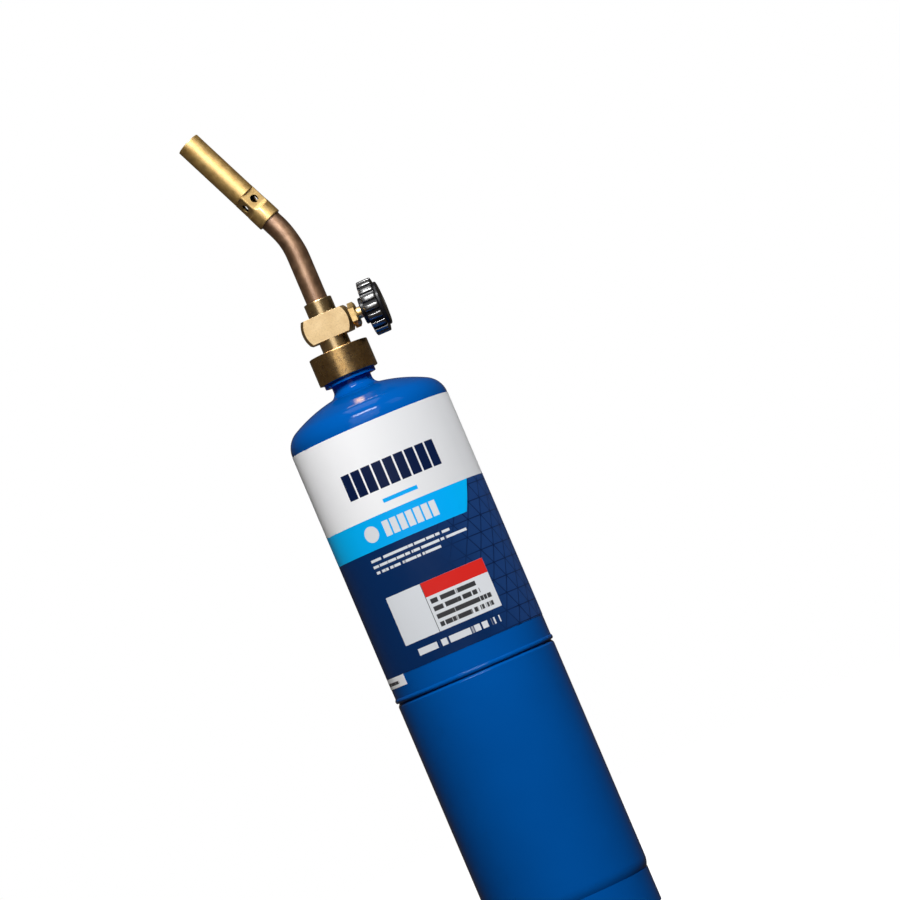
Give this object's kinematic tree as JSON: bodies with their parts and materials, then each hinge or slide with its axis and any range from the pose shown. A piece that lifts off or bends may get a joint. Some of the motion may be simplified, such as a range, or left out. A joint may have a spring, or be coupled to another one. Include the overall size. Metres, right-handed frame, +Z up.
{
  "type": "propane torch",
  "caption": "Hand-held propane torch: slim blue gas cylinder on a foot ring, with a screw-on brass head, needle valve, ribbed knob, bent tube and pencil burner.",
  "frame": {"origin": "centre of the foot ring's bottom face, on the cylinder's axis", "axes": "+Z up along the cylinder's axis, +X along the control knob's axis away from the valve, burner leaning towards -X"},
  "size_m": [0.0756, 0.0756, 0.3929],
  "materials": {
    "cylinder_paint": "gloss blue enamel",
    "label_print": "printed film, blank colour fields",
    "brass": "machined, lightly aged",
    "tarnished_tube": "heat-tarnished bronze brown",
    "sintered_bronze": "sintered, matt",
    "knob_plastic": "gloss black",
    "seal_rubber": "matt black",
    "bare_steel": "zinc plated"
  },
  "bodies": {
    "cylinder": {"foot_ring": "cylinder_paint", "lower_shell": "cylinder_paint", "upper_shell": "cylinder_paint", "label_wrap": "label_print", "label_strip": "label_print", "neck_boss": "bare_steel", "tank_valve_core": "brass", "tank_valve_spring": "bare_steel", "relief_spring": "bare_steel", "relief_retainer": "brass"},
    "tank_pin": {"tank_valve_pin": "brass", "tank_valve_seal": "seal_rubber"},
    "relief_valve": {"relief_poppet": "brass"},
    "head_carrier": {"inlet_seal": "seal_rubber"},
    "torch_head": {"inlet_coupling": "brass", "inlet_probe": "brass", "inlet_filter": "sintered_bronze", "valve_body": "brass", "packing_nut": "brass", "stem_tube": "tarnished_tube", "gas_orifice": "brass", "mixer_body": "brass", "burn_tube": "brass", "flame_holder": "brass"},
    "stem_carrier": {"stem_o_ring": "seal_rubber"},
    "control": {"needle_stem": "brass", "control_knob": "knob_plastic", "knob_screw": "bare_steel"}
  },
  "joints": [
    {"name": "head_lift", "type": "slide", "parent": "cylinder", "child": "head_carrier", "axis": [0, 0, 1], "range_m": [0, 0.00984]},
    {"name": "head_unscrew", "type": "hinge", "parent": "head_carrier", "child": "torch_head", "pos_m": [0, 0, 0.272], "axis": [0, 0, 1], "range_deg": [0, 2790]},
    {"name": "tank_pin_rise", "type": "slide", "parent": "cylinder", "child": "tank_pin", "axis": [0, 0, 1], "range_m": [0, 0.00151], "deforming": ["tank_valve_spring"]},
    {"name": "relief_lift", "type": "slide", "parent": "cylinder", "child": "relief_valve", "axis": [0, 0, 1], "range_m": [0, 0.0008], "stiffness_N_per_m": 200, "springref_m": -0.0005, "deforming": ["relief_spring"]},
    {"name": "stem_travel", "type": "slide", "parent": "torch_head", "child": "stem_carrier", "axis": [1, 0, 0], "range_m": [0, 0.0015]},
    {"name": "knob_turn", "type": "hinge", "parent": "stem_carrier", "child": "control", "pos_m": [0.02, 0, 0.29115], "axis": [1, 0, 0], "range_deg": [0, 540]}
  ],
  "couplings": [
    {"joint": "head_unscrew", "follows": "head_lift", "rad_per_m": 4947.4},
    {"joint": "tank_pin_rise", "follows": "head_lift", "ratio": 0.1524},
    {"joint": "knob_turn", "follows": "stem_travel", "rad_per_m": 6283.2}
  ]
}
